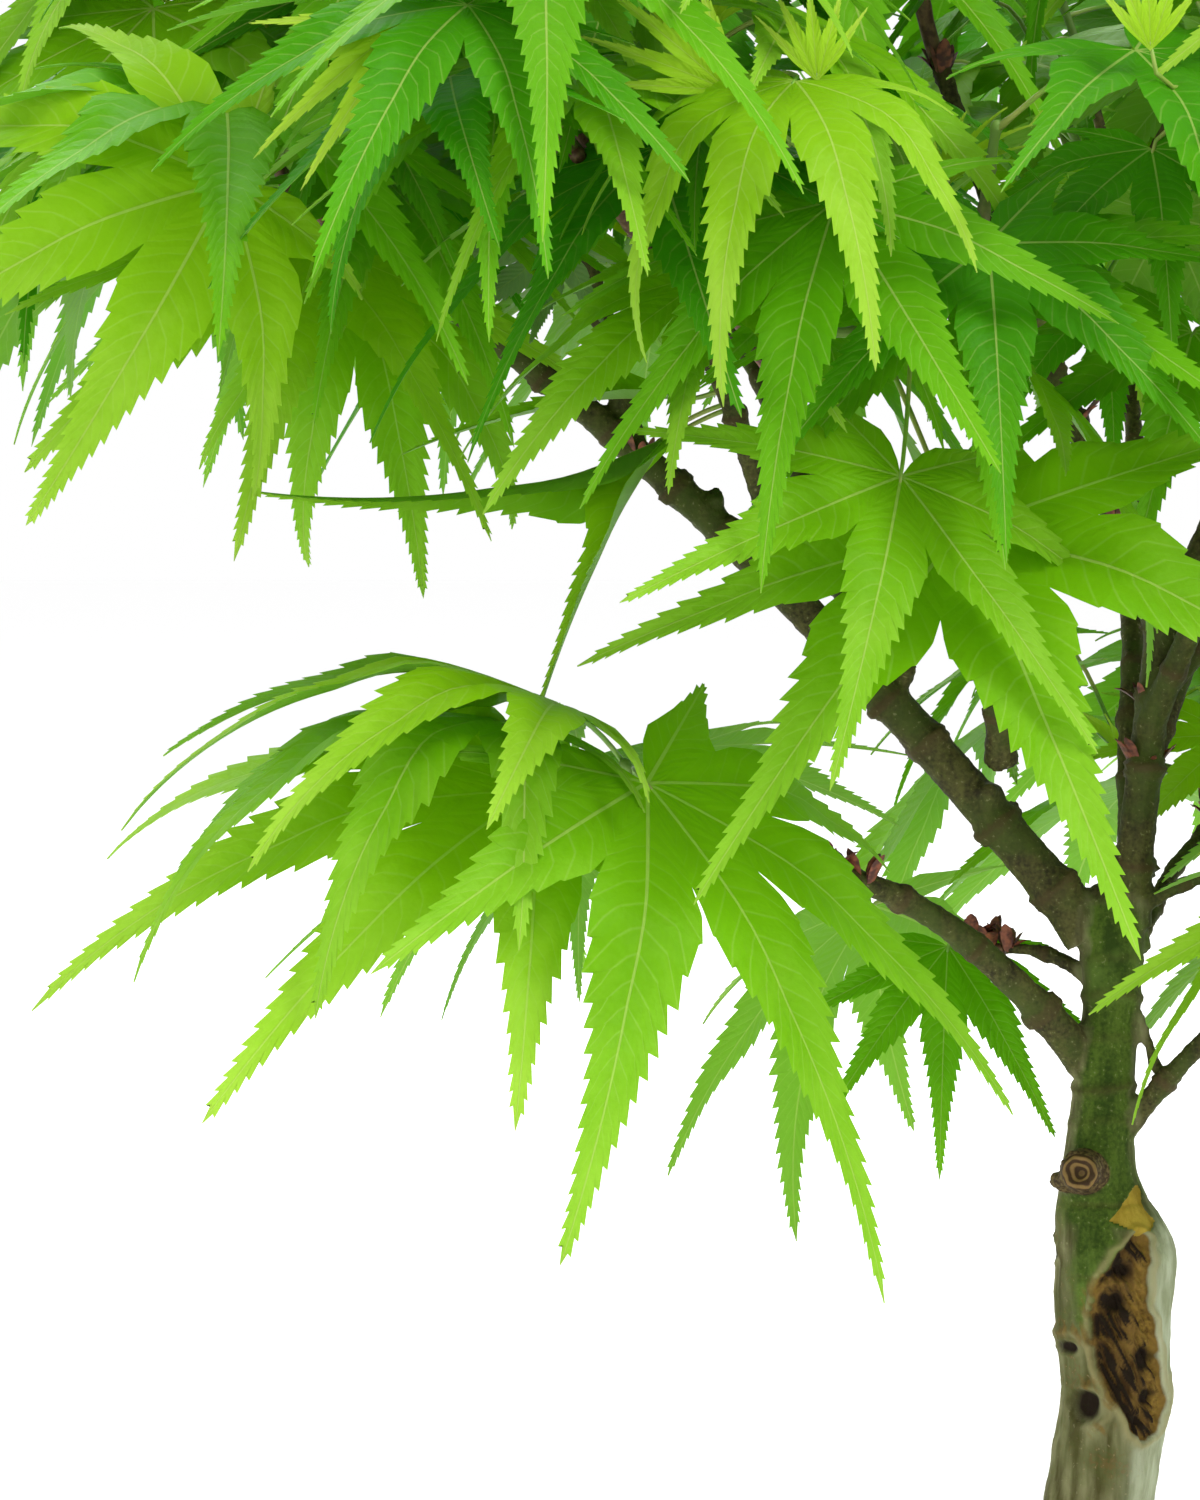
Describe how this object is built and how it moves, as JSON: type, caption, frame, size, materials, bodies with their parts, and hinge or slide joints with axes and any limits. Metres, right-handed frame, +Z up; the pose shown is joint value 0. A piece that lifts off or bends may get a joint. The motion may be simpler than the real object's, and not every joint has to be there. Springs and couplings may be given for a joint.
{
  "type": "small japanese maple tree",
  "caption": "Bonsai-size japanese maple tree with a scarred, leaning trunk, forked boughs and a wide crown of deeply lobed, drooping leaves; flat cut at ground level.",
  "frame": {"origin": "middle of the flat cut under the trunk, at ground level", "axes": "+Z up the trunk, +X towards the side the trunk leans to at mid-height, -Y towards the front, the side the picture was taken from"},
  "size_m": [0.362, 0.3204, 0.3297],
  "materials": {
    "trunk_bark": "matt grey-green bark with a brown healed wound",
    "bough_bark": "matt olive-brown bark with rings at the nodes",
    "leaves": "soft satin leaf with pale ribs"
  },
  "bodies": {
    "root": {"trunk": "trunk_bark", "back_bough": "bough_bark", "back_left_bough": "bough_bark", "back_right_bough": "bough_bark", "front_bough": "bough_bark", "front_left_bough": "bough_bark", "front_right_bough": "bough_bark", "inner_bough": "bough_bark", "leader": "bough_bark", "left_bough": "bough_bark", "left_riser": "bough_bark", "low_back_bough": "bough_bark", "low_left_bough": "bough_bark", "low_right_bough": "bough_bark", "middle_left_bough": "bough_bark", "right_bough": "bough_bark", "top_left_bough": "bough_bark", "top_right_bough": "bough_bark", "back_left_mass": "leaves", "back_mass": "leaves", "back_right_mass": "leaves", "crown_top_mass": "leaves", "far_left_mass": "leaves", "front_left_mass": "leaves", "front_mass": "leaves", "front_right_mass": "leaves", "inner_mass": "leaves", "left_top_mass": "leaves", "low_back_mass": "leaves", "low_left_mass": "leaves", "low_right_mass": "leaves", "middle_left_mass": "leaves", "right_mass": "leaves", "top_right_mass": "leaves"}
  },
  "joints": []
}
